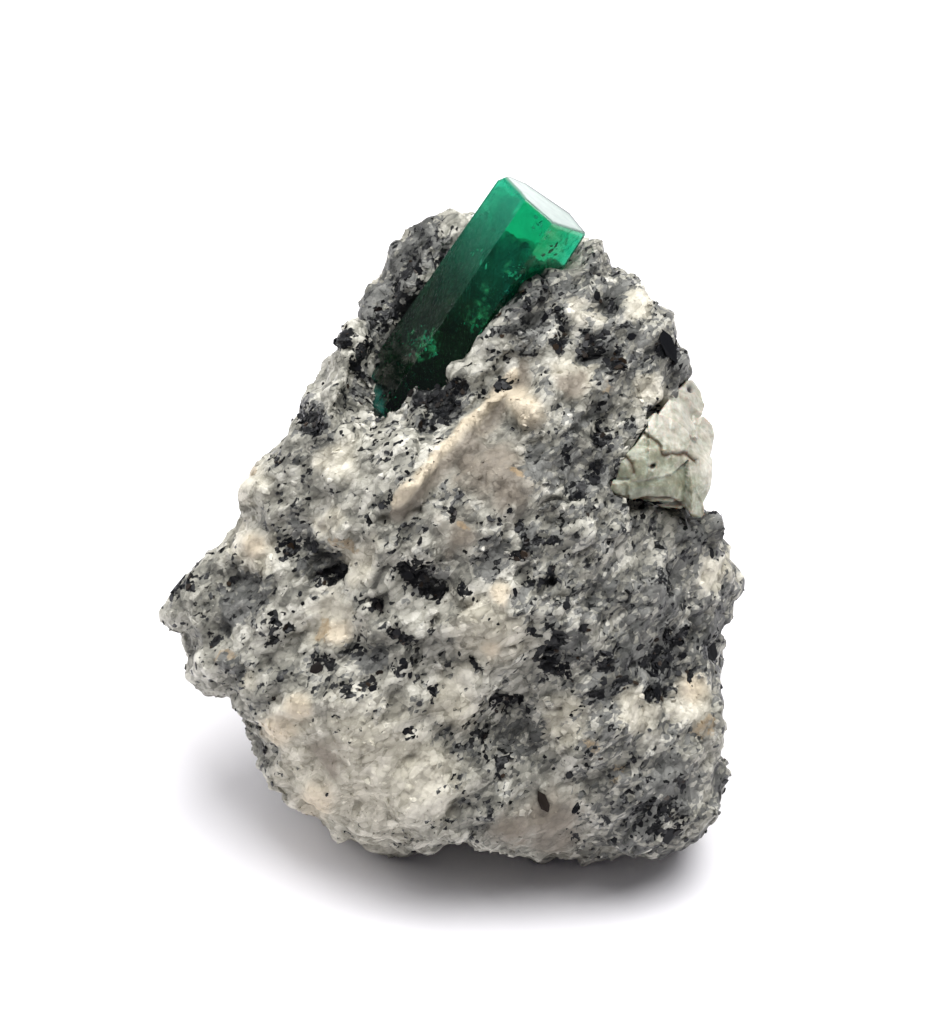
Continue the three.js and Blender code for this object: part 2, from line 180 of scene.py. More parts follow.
def mesh_piece(name, points, faces, smooth=True):
    """A new object at the origin from arrays of corners, in millimetres, and of faces all with one corner
    count."""
    mesh = bpy.data.meshes.new(name)
    mesh.vertices.add(len(points))
    mesh.vertices.foreach_set("co", (points * MM).astype(np.float32).ravel())
    mesh.loops.add(faces.size)
    mesh.loops.foreach_set("vertex_index", faces.astype(np.int32).ravel())
    mesh.polygons.add(len(faces))
    mesh.polygons.foreach_set("loop_start", np.arange(0, faces.size, faces.shape[1], dtype=np.int32))
    mesh.polygons.foreach_set("use_smooth", np.full(len(faces), smooth))
    mesh.update(calc_edges=True)
    piece = bpy.data.objects.new(name, mesh)
    bpy.context.scene.collection.objects.link(piece)
    return piece


def point_values(piece, **values):
    """Puts an array of numbers, one for each corner of a piece, into an attribute of its mesh."""
    for name, numbers in values.items():
        attribute = piece.data.attributes.new(name, "FLOAT", "POINT")
        attribute.data.foreach_set("value", numbers.astype(np.float32))


def wrapped(points, faces, node):
    """Corners and normals of a shell that is drawn in along its normals to the first of a node that it
    meets, spread evenly, put back on the node, and eased: each corner goes half way to the middle of its
    neighbours."""
    shell = mesh_piece("shell", points, faces)
    wrap = shell.modifiers.new("wrap", "SHRINKWRAP")
    wrap.target = node
    wrap.wrap_method = "PROJECT"
    wrap.use_positive_direction = False
    wrap.use_negative_direction = True
    even = shell.modifiers.new("even", "SMOOTH")
    even.iterations = EVENING_STEPS
    back = shell.modifiers.new("back", "SHRINKWRAP")
    back.target = node
    back.wrap_method = "NEAREST_SURFACEPOINT"
    ease = shell.modifiers.new("ease", "SMOOTH")
    ease.iterations = EASING_STEPS
    drawn = shell.evaluated_get(bpy.context.evaluated_depsgraph_get()).data
    spots, normals = np.empty(points.size, np.float32), np.empty(points.size, np.float32)
    drawn.vertices.foreach_get("co", spots)
    drawn.vertices.foreach_get("normal", normals)
    bpy.data.objects.remove(shell)
    return spots.reshape(-1, 3) / MM, normals.reshape(-1, 3)


def dice(cells, salt):
    """A repeatable number from 0 to 1 for each whole-number cell: its three numbers mixed with the salt."""
    factors = np.array([374761393, 668265263, 1440662683])
    mixed = np.sum(cells.astype(np.int64) * factors, axis=-1) + salt * 974634493
    mixed = mixed & 0xFFFFFFFF
    for shift, factor in ((13, 1274126177), (16, 2246822519), (15, 3266489917)):
        mixed = ((mixed ^ (mixed >> shift)) * factor) & 0xFFFFFFFF
    return (mixed ^ (mixed >> 16)) / 0xFFFFFFFF


def cloud(points, size, salt):
    """Smooth noise from -1 to 1: numbers at the corners of cubes of a size, blended by 3t^2 - 2t^3."""
    base = np.floor(points / size)
    part = points / size - base
    ease = part * part * (3 - 2 * part)
    total = np.zeros(len(points))
    for step in np.ndindex(2, 2, 2):
        share = np.prod(np.where(np.array(step) == 1, ease, 1 - ease), axis=1)
        total += share * dice(base + step, salt)
    return 2 * total - 1


def cloud_shift(points, size, salt):
    """Smooth noise from -1 to 1 for each of three axes."""
    return np.stack([cloud(points, size, salt + axis) for axis in range(3)], -1)


def grains(points, size, salt, offset, tilt, dome):
    """Relief of grown-together grains, one about a scattered centre in each cube of a size: the highest of
    their tops at each point, where a top is the grain's own offset, plus its own tilt times the way from
    its centre, less a dome times the square of that way. Gives the height, about a mean of 0, the cube of
    the highest grain, and the way from its centre."""
    base = np.floor(points / size)
    height = np.full(len(points), -np.inf)
    cell, way = np.zeros_like(points), np.zeros(len(points))
    for step in np.ndindex(3, 3, 3):
        near = base + step - 1
        spot = near + np.stack([0.05 + 0.9 * dice(near, salt + axis) for axis in range(3)], -1)
        off = points - spot * size
        slope = np.stack([2 * dice(near, salt + axis) - 1 for axis in (3, 4, 5)], -1)
        square = np.sum(off * off, axis=1)
        top = offset * (2 * dice(near, salt + 6) - 1) + tilt * np.sum(slope * off, axis=1)
        top = top - dome * square / size
        higher = top > height
        height = np.where(higher, top, height)
        cell[higher], way[higher] = near[higher], np.sqrt(square[higher])
    return height - height.mean(), cell, way


def on_face(points):
    """Where points show on the broad face from the viewing distance: across, up, and out of the face."""
    off = points - FACE_MIDDLE
    out = off @ FACE_OUT
    spread = VIEW_DISTANCE / (VIEW_DISTANCE - out)
    return off[:, 0] * spread, off @ FACE_UP * spread, out


def at_front(out):
    """From 0 behind the lump's rim to 1 at its front, by the distance out of the face."""
    return np.clip((out + RIM_DEPTH) / RIM_RUN, 0, 1)


def patch_share(spots, patches):
    """Share of the front's patches at spots on the broad face: the most of exp(-(distance / reach)^4)."""
    across, up, out = spots
    share = np.zeros(len(out))
    for middle_across, middle_up, reach in patches:
        off = ((across - middle_across) ** 2 + (up - middle_up) ** 2) / reach**2
        share = np.maximum(share, np.exp(-(off**2)))
    return share * at_front(out)


def from_line(spots, line):
    """Distance of spots on the broad face from a line of straight stretches, that of the nearest stretch.
    It is above 0 on the left of the way along the line, and below 0 on the right."""
    across, up, out = spots
    nearest, side = np.full(len(out), np.inf), np.zeros(len(out))
    for start, end in zip(line[:-1], line[1:]):
        length = np.hypot(end[0] - start[0], end[1] - start[1])
        way_across, way_up = (end[0] - start[0]) / length, (end[1] - start[1]) / length
        along = np.clip((across - start[0]) * way_across + (up - start[1]) * way_up, 0, length)
        off_across, off_up = across - start[0] - along * way_across, up - start[1] - along * way_up
        off = np.hypot(off_across, off_up)
        side = np.where(off < nearest, np.sign(off_up * way_across - off_across * way_up), side)
        nearest = np.minimum(nearest, off)
    return nearest * side


def mineral_shares(points):
    """Shares of the rock's minerals, by name: the front's patches and vein, seen through a ragged shift of
    the points, and drift all round. The mica and smoky shares also hold painted shade on the knob beside the
    emerald."""
    spots = on_face(points + 0.5 * cloud_shift(points, 1.3, 40) + 0.4 * cloud_shift(points, 0.6, 50))
    clean_spots = on_face(points + 0.15 * cloud_shift(points, 0.8, 45))
    front = at_front(spots[2])
    drift = cloud(points, 5.0, 60) + 0.6 * cloud(points, 2.2, 61)
    paler = cloud(points, 4.2, 62) + 0.6 * cloud(points, 2.0, 63)
    browner = cloud(points, 7.0, 64)
    beside = from_line(clean_spots, CREAM_VEIN)
    vein = np.exp(-((beside / VEIN_HALF_WIDTH) ** 4)) * front
    # The tan band below the vein is partly its own colour and partly painted shade on the ledge's drop.
    painted_shade_band = np.clip(1 - np.abs(beside - VEIN_SHADE_WIDTH / 2) / (VEIN_SHADE_WIDTH / 2), 0, 1) ** 0.5 * front
    pale = np.maximum(patch_share(spots, PALE_PATCHES), (1 - front) * np.clip(paler, 0, 0.8))
    tan = np.maximum(patch_share(spots, TAN_PATCHES), painted_shade_band)
    tan = np.maximum(tan, (1 - front) * np.clip(1.4 * browner - 0.3, 0, 0.7))
    cream = np.maximum(patch_share(clean_spots, CREAM_PATCHES), vein)
    cream = np.maximum(cream, (1 - front) * np.clip(1.2 * paler - 0.5, 0, 0.8))
    plain = (1 - tan) * (1 - cream)
    mica = 0.24 + 0.07 * drift + (1 - front) * np.clip(1.2 * drift - 0.25, 0, 0.5)
    mica = np.maximum(mica * plain * (1 - 0.5 * pale), 0.76 * patch_share(spots, MICA_AND_SHADE_PATCHES))
    smoky = 0.26 + 0.012 * spots[0] + 0.2 * drift + 0.5 * mica
    smoky = np.clip(smoky, 0, 1) * plain * (1 - 0.7 * pale)
    smoky = np.maximum(smoky, 0.8 * patch_share(spots, SMOKY_AND_SHADE_PATCHES) * (1 - cream))
    rust = patch_share(spots, RUST_PATCHES) + (1 - front) * np.clip(browner - 0.3, 0, 0.4)
    return {"mica": mica, "smoky": smoky, "pale": pale, "cream": cream, "tan": tan, "rust": rust}


def node_planes(node):
    """Outward normals and distances of a convex node's triangles, in millimetres."""
    mesh = node.data
    mesh.calc_loop_triangles()
    spots = np.empty(len(mesh.vertices) * 3, np.float32)
    mesh.vertices.foreach_get("co", spots)
    corners = np.empty(len(mesh.loop_triangles) * 3, np.int32)
    mesh.loop_triangles.foreach_get("vertices", corners)
    a, b, c = np.moveaxis(spots.reshape(-1, 3)[corners.reshape(-1, 3)] / MM, 1, 0)
    normals = np.cross(b - a, c - a)
    kept = np.linalg.norm(normals, axis=1) > 1e-6
    normals = unit(normals[kept])
    return normals, np.sum(normals * a[kept], axis=1)


def seated(points, node):
    """Draws a skin back from a crystal: along the ray from the lump's heart, a point inside the convex
    crystal, or just short of it, goes to where the ray first meets the crystal."""
    normals, distances = node_planes(node)
    ray = points - HEART
    reach = np.linalg.norm(ray, axis=1)
    slant = ray @ normals.T / reach[:, None]
    room = distances - HEART @ normals.T
    meets = room / np.where(np.abs(slant) < 1e-9, 1e-9, slant)
    enters = np.max(np.where(slant < 0, meets, -np.inf), axis=1)
    leaves = np.min(np.where(slant > 0, meets, np.inf), axis=1)
    sunk = (enters < leaves) & (enters > 0) & (reach > enters - CLOSE_GAP) & (reach < leaves)
    return np.where(sunk[:, None], HEART + ray * ((enters + CONTACT) / reach)[:, None], points)


def mounds(spots):
    """Rise and fall of the front's own forms: the sum of rise * exp(-(distance / reach)^2)."""
    across, up, out = spots
    total = np.zeros(len(out))
    for middle_across, middle_up, reach, rise in MOUNDS:
        total += rise * np.exp(-((across - middle_across) ** 2 + (up - middle_up) ** 2) / reach**2)
    return total * at_front(out)


def ledges(spots, shift):
    """Ledges of the front: the rock rises slowly to a line, by its height, and drops off within a run
    beyond it. The ledge fades towards the line's ends, and the line is shifted a little."""
    across, up, out = spots
    total = np.zeros(len(out))
    for line, height, run in LEDGES:
        beyond = from_line(spots, line) + shift
        rising = np.exp(np.minimum(beyond, 0) / LEDGE_SLOPE) * np.clip(1 - beyond / run, 0, 1)
        middle, half = np.mean(line, axis=0), np.hypot(*np.subtract(line[0], line[-1])) / 2
        away = np.hypot(across - middle[0], up - middle[1])
        within = np.clip((half + LEDGE_END - away) / LEDGE_FADE, 0, 1)
        total += height * rising * within
    return total * at_front(out)


cube_corners, skin_faces = cube_shell(SKIN_SQUARES)
directions = unit(np.tan(cube_corners * np.pi / 4) + FRONT_BIAS * FACE_OUT)
skin, skin_normals = wrapped(HEART + SHELL_RADIUS * directions, skin_faces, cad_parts["matrix"])

shares = mineral_shares(skin)
pressed = skin + FOLIATION_PRESS * (skin @ FOLIATION)[:, None] * FOLIATION
pressed = pressed + 0.2 * cloud_shift(pressed, 0.9, 70)
scallops, _, _ = grains(pressed, SCALLOP_SIZE, 100, offset=0.2, tilt=0.12, dome=0.3)
blocks, _, _ = grains(pressed, BLOCK_SIZE, 110, offset=0.12, tilt=0.4, dome=0.18)
lumps, _, _ = grains(pressed, LUMP_SIZE, 120, offset=0.09, tilt=0.5, dome=0.25)
_, pit_cell, pit_way = grains(pressed, PIT_SPACING, 130, offset=0.0, tilt=0.0, dome=1.0)
pitted = (dice(pit_cell, 140) < PITTED_SHARE) * np.exp(-((pit_way / PIT_REACH) ** 4))
# Relief height, given to the colour: raised grains are painted lighter and low ground darker, as painted
# light and shade.
shares["relief_light"] = lumps + 0.6 * blocks
calm = 1 - 0.5 * np.maximum(shares["tan"], 0.7 * shares["pale"])
height = calm * (-0.8 * scallops + blocks + 0.9 * lumps) - 0.4 * pitted
height = height - 0.25 * shares["mica"] + 0.12 * shares["cream"]
height = height + mounds(on_face(skin)) + ledges(on_face(skin), 0.2 * cloud(skin, 1.1, 90))
skin = skin + height[:, None] * skin_normals
loose = skin
for crystal in ("emerald_crystal", "pale_beryl"):
    skin = seated(skin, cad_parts[crystal])
in_socket = np.linalg.norm(skin - loose, axis=1) > 0
skin[:, 2] = np.maximum(skin[:, 2], 0)
depth_in_seat = SEAT_MOUTH - on_face(skin)[1]
shares["mica"] = np.where(in_socket, np.clip(0.3 + 0.06 * depth_in_seat, 0.15, 0.75), shares["mica"])


class Shade:
    """A value in a material: wraps a node's output, so that a sum or a product of values is written as one,
    and each adds its Math node."""

    def __init__(self, tree, socket=None):
        self.tree = tree
        self.socket = socket

    def node(self, kind, sockets=None, output=0, stops=None, **settings):
        """Any node: its settings first, then the values or links of its sockets by name or number."""
        made = self.tree.nodes.new(kind)
        for name, value in settings.items():
            setattr(made, name, value)
        if stops:
            ramp = made.color_ramp.elements
            for extra in stops[2:]:
                ramp.new(extra[0])
            for element, (place, colour) in zip(ramp, stops):
                element.position = place
                element.color = (*colour, 1)
        for name, value in (sockets or {}).items():
            if isinstance(value, Shade):
                self.tree.links.new(value.socket, made.inputs[name])
            else:
                made.inputs[name].default_value = value
        return Shade(self.tree, made.outputs[output])

    def sibling(self, output):
        """Another output of the same node."""
        return Shade(self.tree, self.socket.node.outputs[output])

    def math(self, operation, *values):
        """A Math node of these values."""
        return self.node("ShaderNodeMath", dict(enumerate(values)), operation=operation)

    def mix(self, start, end):
        """A colour from start to end by this value."""
        return self.node("ShaderNodeMix", {0: self, 6: start, 7: end}, output=2, data_type="RGBA")

    def ramp(self, *stops):
        """A colour by this value, blended between stops, each a place and a colour."""
        return self.node("ShaderNodeValToRGB", {0: self}, stops=stops)

    def step(self, low, high):
        """Rises smoothly from 0 to 1 between two values."""
        sockets = {"Value": self, "From Min": low, "From Max": high}
        return self.node("ShaderNodeMapRange", sockets, interpolation_type="SMOOTHSTEP")

    def __add__(self, other):
        return self.math("ADD", self, other)

    def __sub__(self, other):
        return self.math("SUBTRACT", self, other)

    def __rsub__(self, other):
        return self.math("SUBTRACT", other, self)

    def __mul__(self, other):
        return self.math("MULTIPLY", self, other)

    __radd__ = __add__
    __rmul__ = __mul__


def new_material(name, **constants):
    """A material with one Principled shader whose unvarying values are set on its own sockets, and a Shade
    to start from."""
    material = bpy.data.materials.new(name)
    material.use_nodes = True
    shader = material.node_tree.nodes["Principled BSDF"]
    for socket, value in constants.items():
        shader.inputs[socket.replace("_", " ")].default_value = value
    return material, shader, Shade(material.node_tree)


def feed(shade, shader, **values):
    """Links varying values to a shader's sockets."""
    for socket, value in values.items():
        shade.tree.links.new(value.socket, shader.inputs[socket.replace("_", " ")])


def attribute(start, name):
    """A piece's own value for each corner."""
    return start.node("ShaderNodeAttribute", output=2, attribute_name=name)


def noise(place, size, detail=2.0, output=0):
    """Drifting noise with forms of a size in millimetres: 0 gives a value, 1 a colour."""
    sockets = {"Vector": place, "Scale": 1 / (size * MM), "Detail": detail, "Roughness": 0.6}
    return place.node("ShaderNodeTexNoise", sockets, output=output)


def rock_material(name):
    """Cells of three sizes, drawn out along the rock's layers, each with its own tone and its own tilt in
    the bump, make the grains of quartz, stained pale, cream, tan or rusty by their shares. A cell is smoky
    or mica where its draw is below that share, and the grains' borders are darker."""
    material, shader, start = new_material(name, IOR=1.5, Specular_IOR_Level=0.25)
    place = start.node("ShaderNodeTexCoord", output="Object")
    depth = {0: place, 1: tuple(FOLIATION)}
    depth = start.node("ShaderNodeVectorMath", depth, output=1, operation="DOT_PRODUCT")
    layered = {0: depth, 1: tuple(GRAIN_PRESS * FOLIATION), 2: place}
    layered = start.node("ShaderNodeVectorMath", layered, operation="MULTIPLY_ADD")
    warped = {0: noise(place, 0.4, 2.0, output=1), 1: (0.22 * MM,) * 3, 2: layered}
    warped = start.node("ShaderNodeVectorMath", warped, operation="MULTIPLY_ADD")

    def cells(size):
        """Two draws for each cell of a size, its height in millimetres by a drawn tilt, and its border."""
        sockets = {"Vector": warped, "Scale": 1 / (size * MM)}
        drawn = start.node("ShaderNodeTexVoronoi", sockets, output="Color")
        middle = drawn.sibling("Position")
        off = start.node("ShaderNodeVectorMath", {0: warped, 1: middle}, operation="SUBTRACT")
        tilt = start.node("ShaderNodeVectorMath", {0: drawn, 1: (0.5, 0.5, 0.5)}, operation="SUBTRACT")
        rise = start.node("ShaderNodeVectorMath", {0: off, 1: tilt}, output=1, operation="DOT_PRODUCT")
        draws = [drawn.node("ShaderNodeSeparateColor", {0: drawn}, output=channel) for channel in (0, 1)]
        return *draws, rise * (1 / MM), drawn.sibling("Distance").step(0.4, 0.75)

    big_size, middle_size, small_size = GRAIN_SIZES
    big_tone, big_draw, big_rise, _ = cells(big_size)
    middle_tone, middle_draw, middle_rise, border = cells(middle_size)
    small_tone, small_draw, small_rise, _ = cells(small_size)
    mottle = noise(layered, 1.2, 4.0) - 0.5
    patchy = 0.25 * big_draw + 0.35 * middle_draw + 0.4 * small_draw
    peppery = 0.15 * big_draw + 0.3 * middle_draw + 0.55 * small_draw
    pale, pure, brown = attribute(start, "pale"), attribute(start, "cream"), attribute(start, "tan")
    tone = 0.34 * big_tone + 0.28 * middle_tone + 0.2 * small_tone + 0.5 * mottle - 0.12 * border
    # Higher ground of the relief is painted lighter and lower ground darker: painted light and shade.
    tone = 0.4 + (tone - 0.37) * (1 - 0.3 * pale - 0.4 * pure - 0.5 * brown) + 0.4 * attribute(start, "relief_light")
    tone = tone + attribute(start, "grain") + 0.1 * pale
    quartz = tone.ramp(
        (0.05, (0.10, 0.099, 0.086)), (0.24, (0.20, 0.196, 0.167)), (0.42, (0.315, 0.306, 0.26)),
        (0.58, (0.46, 0.446, 0.388)), (0.8, (0.66, 0.642, 0.57)),
    )
    warm = tone.ramp(
        (0.05, (0.165, 0.15, 0.113)), (0.26, (0.295, 0.274, 0.215)), (0.46, (0.475, 0.445, 0.36)),
        (0.8, (0.76, 0.72, 0.61)),
    )
    cream = tone.ramp((0.05, (0.34, 0.288, 0.205)), (0.65, (0.72, 0.63, 0.485)))
    tan = tone.ramp((0.0, (0.085, 0.070, 0.053)), (0.7, (0.29, 0.25, 0.198)))
    smoke = tone.ramp(
        (0.05, (0.036, 0.037, 0.034)), (0.35, (0.095, 0.096, 0.089)), (0.75, (0.23, 0.23, 0.213)),
    )
    colour = pale.mix(quartz, warm)
    colour = (0.9 * brown).mix(colour, tan)
    colour = pure.mix(colour, cream)
    rusty = (attribute(start, "rust") - patchy).step(0.0, 0.4)
    colour = (0.5 * rusty).mix(colour, (0.34, 0.23, 0.11, 1))
    # The smoky and mica shares also carry painted shade on the knob beside the emerald.
    smoky = (attribute(start, "smoky") + 0.5 * mottle - patchy).step(-0.1, 0.1)
    colour = smoky.mix(colour, smoke)
    black = (attribute(start, "mica") - peppery - 0.3 * mottle).step(0.0, 0.03)
    colour = black.mix(colour, (0.006, 0.0065, 0.007, 1))
    grit = 0.05 * noise(place, 0.2, 3.0) + 0.3 * big_rise + 0.45 * middle_rise + 0.4 * small_rise
    bump = start.node("ShaderNodeBump", {"Height": grit, "Strength": 0.8, "Distance": MM})
    feed(start, shader, Base_Color=colour, Roughness=0.5 - 0.2 * black + 0.4 * mottle, Normal=bump)
    return material


rock = rock_material("matrix_rock")
matrix = mesh_piece("matrix_rock", skin, skin_faces)
point_values(matrix, grain=np.zeros(len(skin)), **shares)
matrix.data.materials.append(rock)
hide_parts("matrix")
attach(matrix, "root")


# Quartz grains: broken grains of quartz and feldspar that stand a little out of the rock all over it.
# Each is an angular chunk, grown into the rock at its foot, with the colour of the rock where it sits.

GRAIN_COUNT = 7000
GRAIN_SIDES = 5
GRAIN_WIDTHS = (0.1, 0.38)  # least and most half width
GRAIN_FORMS = ((0.8, 0.6, 0.5), (1.4, 1.0, 0.9))  # least and most length, breadth and height, by half width
GRAIN_SUNK = (0.4, 0.85)  # least and most share of its half height
GRAIN_WOBBLE = 0.4
GRAIN_RAGGED = (0.6, 1.25)
CRYSTAL_CLEARANCE = 0.45
FLOOR_CLEARANCE = 0.5


def corner_areas(points, faces):
    """Area about each corner: a quarter of each four-sided face there, by its diagonals' cross product."""
    a, b, c, d = np.moveaxis(points[faces], 1, 0)
    area = np.linalg.norm(np.cross(c - a, d - b), axis=1) / 8
    return np.bincount(faces.ravel(), np.repeat(area, 4), minlength=len(points))


def corner_normals(piece):
    """Outward normals at a piece's corners."""
    normals = np.empty(3 * len(piece.data.vertices), np.float32)
    piece.data.vertices.foreach_get("normal", normals)
    return normals.reshape(-1, 3)


def clear_of_crystals(points, clearance):
    """True where points are further than a clearance from both crystals, by the most face distance."""
    clear = np.ones(len(points), bool)
    for crystal in ("emerald_crystal", "pale_beryl"):
        normals, distances = node_planes(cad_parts[crystal])
        clear &= np.max(points @ normals.T - distances, axis=1) > clearance
    return clear


def scattered(weights, count, draw):
    """Numbers of the skin's corners where small things sit: drawn by weight, none twice."""
    return draw.choice(len(weights), count, replace=False, p=weights / weights.sum())


def turned_about(normals, wobble, draw):
    """Three axes for each normal: the normal tipped by a wobble, and two drawn across it."""
    third = unit(normals + wobble * draw.normal(size=normals.shape))
    first = unit(np.cross(third, draw.normal(size=normals.shape)))
    return np.stack([first, np.cross(third, first), third], 1)


def chunk_shape(sides):
    """A rough ball of two rings between two poles, each ring turned half a step from the other. Gives its
    corners and its three-sided faces."""
    turn = 2 * np.pi * np.arange(sides) / sides
    upper = np.stack([0.9 * np.cos(turn), 0.9 * np.sin(turn), np.full(sides, 0.45)], -1)
    half = turn + np.pi / sides
    lower = np.stack([0.9 * np.cos(half), 0.9 * np.sin(half), np.full(sides, -0.45)], -1)
    spots = np.concatenate([[[0, 0, 1]], upper, lower, [[0, 0, -1]]])
    here = np.arange(sides)
    after = (here + 1) % sides
    top, bottom = np.zeros(sides, int), np.full(sides, 2 * sides + 1)
    faces = [(top, 1 + here, 1 + after), (1 + here, 1 + sides + here, 1 + after),
             (1 + after, 1 + sides + here, 1 + sides + after), (bottom, 1 + sides + after, 1 + sides + here)]
    return spots, np.concatenate([np.stack(face, -1) for face in faces])


def copies(shape, faces, scales, axes, middles, ragged):
    """Many copies of a shape joined: each corner times its copy's scales and its own ragged factor, turned
    to its copy's axes and put at its middle."""
    sized = shape * scales[:, None, :] * ragged[..., None]
    spots = np.einsum("nij,njk->nik", sized, axes) + middles[:, None, :]
    steps = len(shape) * np.arange(len(middles))
    return spots.reshape(-1, 3), (faces + steps[:, None, None]).reshape(-1, faces.shape[1])


skin_areas = corner_areas(skin, skin_faces)
skin_normals = corner_normals(matrix)
bare = clear_of_crystals(skin, CRYSTAL_CLEARANCE) & (skin[:, 2] > FLOOR_CLEARANCE)

grain_draw = np.random.default_rng(11)
grain_weights = skin_areas * bare * np.clip(1 - 1.4 * shares["mica"], 0.06, 1) * (1 - 0.7 * shares["tan"])
grain_at = scattered(grain_weights, GRAIN_COUNT, grain_draw)
grain_half = GRAIN_WIDTHS[0] + (GRAIN_WIDTHS[1] - GRAIN_WIDTHS[0]) * grain_draw.random(GRAIN_COUNT) ** 2.5
grain_form = grain_draw.uniform(*GRAIN_FORMS, (GRAIN_COUNT, 3))
grain_scales = grain_half[:, None] * grain_form
chunk, chunk_faces = chunk_shape(GRAIN_SIDES)
grain_sunk = grain_scales[:, 2] * grain_draw.uniform(*GRAIN_SUNK, GRAIN_COUNT)
grain_middles = skin[grain_at] - grain_sunk[:, None] * skin_normals[grain_at]
grain_axes = turned_about(skin_normals[grain_at], GRAIN_WOBBLE, grain_draw)
grain_ragged = grain_draw.uniform(*GRAIN_RAGGED, (GRAIN_COUNT, len(chunk)))
grain_spots, grain_faces = copies(chunk, chunk_faces, grain_scales, grain_axes, grain_middles, grain_ragged)
grain_spots[:, 2] = np.maximum(grain_spots[:, 2], 0)
grain_piece = mesh_piece("quartz_grains", grain_spots, grain_faces, smooth=False)
grain_shares = {name: values[grain_at] for name, values in shares.items()}
grain_shares["mica"] = 0.3 * grain_shares["mica"]
grain_shares["grain"] = grain_draw.normal(0.02, 0.12, GRAIN_COUNT)
point_values(grain_piece, **{name: np.repeat(values, len(chunk)) for name, values in grain_shares.items()})
grain_piece.data.materials.append(rock)
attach(grain_piece, "root")


# Mica flakes: thin six-sided plates of black mica, gathered in the dark patches, with a few thick books of
# them at the lump's edge. They lie roughly along the rock's surface with their edges in it, and their faces
# are glossy.

FLAKE_COUNT = 3600
FLAKE_SIDES = 6
FLAKE_WIDTHS = (0.07, 0.34)
FLAKE_FORMS = ((0.9, 0.5, 0.05), (1.0, 1.0, 0.2))
FLAKE_LIFT = (-0.05, 0.05)
FLAKE_WOBBLE = 0.35
FLAKE_RAGGED = (0.7, 1.1)
# Books on the broad face: across, up, half length, half width, way along it across and up, brown share
MICA_BOOKS = [
    (12.9, 10.3, 1.15, 0.5, 0.47, -0.88, 0.0), (-6.1, 10.4, 0.75, 0.5, 0.49, 0.87, 0.1),
    (-15.9, -3.8, 0.7, 0.45, 0.6, 0.8, 0.2), (5.65, -16.8, 0.7, 0.35, 0.45, -0.9, 0.6),
    (15.4, -7.9, 0.7, 0.4, 0.4, -0.9, 0.3), (-4.1, -5.3, 0.4, 0.3, 0.9, -0.4, 0.5),
    (-7.7, -8.8, 0.5, 0.35, 0.8, 0.5, 0.5), (13.0, -18.6, 0.8, 0.5, 0.8, 0.5, 0.2),
]
BOOK_THICKNESS = 0.3
BOOK_SUNK = 0.4  # share of its thickness
BEHIND_COST = 0.05  # a place behind the face's middle counts as this much further off for each millimetre
BOOK_TURN_OUT = 0.3  # a book's face is turned towards the front by this, against the skin's own normal


def plate_shape(sides):
    """A flat plate: an upper and a lower ring of corners, filled in a fan and joined round the edge."""
    turn = 2 * np.pi * np.arange(sides) / sides
    ring = np.stack([np.cos(turn), np.sin(turn)], -1)
    spots = np.concatenate([np.insert(ring, 2, 1, axis=1), np.insert(ring, 2, -1, axis=1)])
    fan = np.arange(1, sides - 1)
    here = np.arange(sides)
    after = (here + 1) % sides
    faces = [(0 * fan, fan, fan + 1), (sides + 0 * fan, sides + fan + 1, sides + fan),
             (here, sides + here, sides + after), (here, sides + after, after)]
    return spots, np.concatenate([np.stack(face, -1) for face in faces])


flake_draw = np.random.default_rng(12)
flake_weights = skin_areas * bare * np.clip(shares["mica"] - 0.2, 0.006, 1) ** 1.3
flake_at = scattered(flake_weights, FLAKE_COUNT, flake_draw)
flake_half = FLAKE_WIDTHS[0] + (FLAKE_WIDTHS[1] - FLAKE_WIDTHS[0]) * flake_draw.random(FLAKE_COUNT) ** 2
flake_form = flake_draw.uniform(*FLAKE_FORMS, (FLAKE_COUNT, 3))
flake_scales = flake_half[:, None] * flake_form
flake_lift = flake_draw.uniform(*FLAKE_LIFT, FLAKE_COUNT)
flake_middles = skin[flake_at] + flake_lift[:, None] * skin_normals[flake_at]
flake_axes = turned_about(skin_normals[flake_at], FLAKE_WOBBLE, flake_draw)

books = np.array(MICA_BOOKS)
seen_across, seen_up, seen_out = on_face(skin)
off_books = (seen_across - books[:, :1]) ** 2 + (seen_up - books[:, 1:2]) ** 2
off_books = off_books - BEHIND_COST * np.minimum(seen_out, 0)
book_at = np.argmin(off_books, axis=1)
book_facing = unit(skin_normals[book_at] + BOOK_TURN_OUT * FACE_OUT)
book_along = books[:, 4:5] * ACROSS + books[:, 5:6] * FACE_UP
book_along = unit(book_along - np.sum(book_along * book_facing, axis=1, keepdims=True) * book_facing)
book_axes = np.stack([book_along, np.cross(book_facing, book_along), book_facing], 1)
book_scales = np.insert(books[:, 2:4], 2, BOOK_THICKNESS, axis=1)
book_middles = skin[book_at] - BOOK_SUNK * BOOK_THICKNESS * book_facing

plate, plate_faces = plate_shape(FLAKE_SIDES)
plate_scales = np.concatenate([flake_scales, book_scales])
plate_axes = np.concatenate([flake_axes, book_axes])
plate_middles = np.concatenate([flake_middles, book_middles])
plate_ragged = flake_draw.uniform(*FLAKE_RAGGED, (len(plate_middles), len(plate)))
flake_spots, flake_faces = copies(plate, plate_faces, plate_scales, plate_axes, plate_middles, plate_ragged)
flake_spots[:, 2] = np.maximum(flake_spots[:, 2], 0)
flake_piece = mesh_piece("mica_flakes", flake_spots, flake_faces, smooth=False)
flake_brown = np.concatenate([flake_draw.random(FLAKE_COUNT) ** 5, books[:, 6]])
point_values(flake_piece, brown=np.repeat(flake_brown, len(plate)))


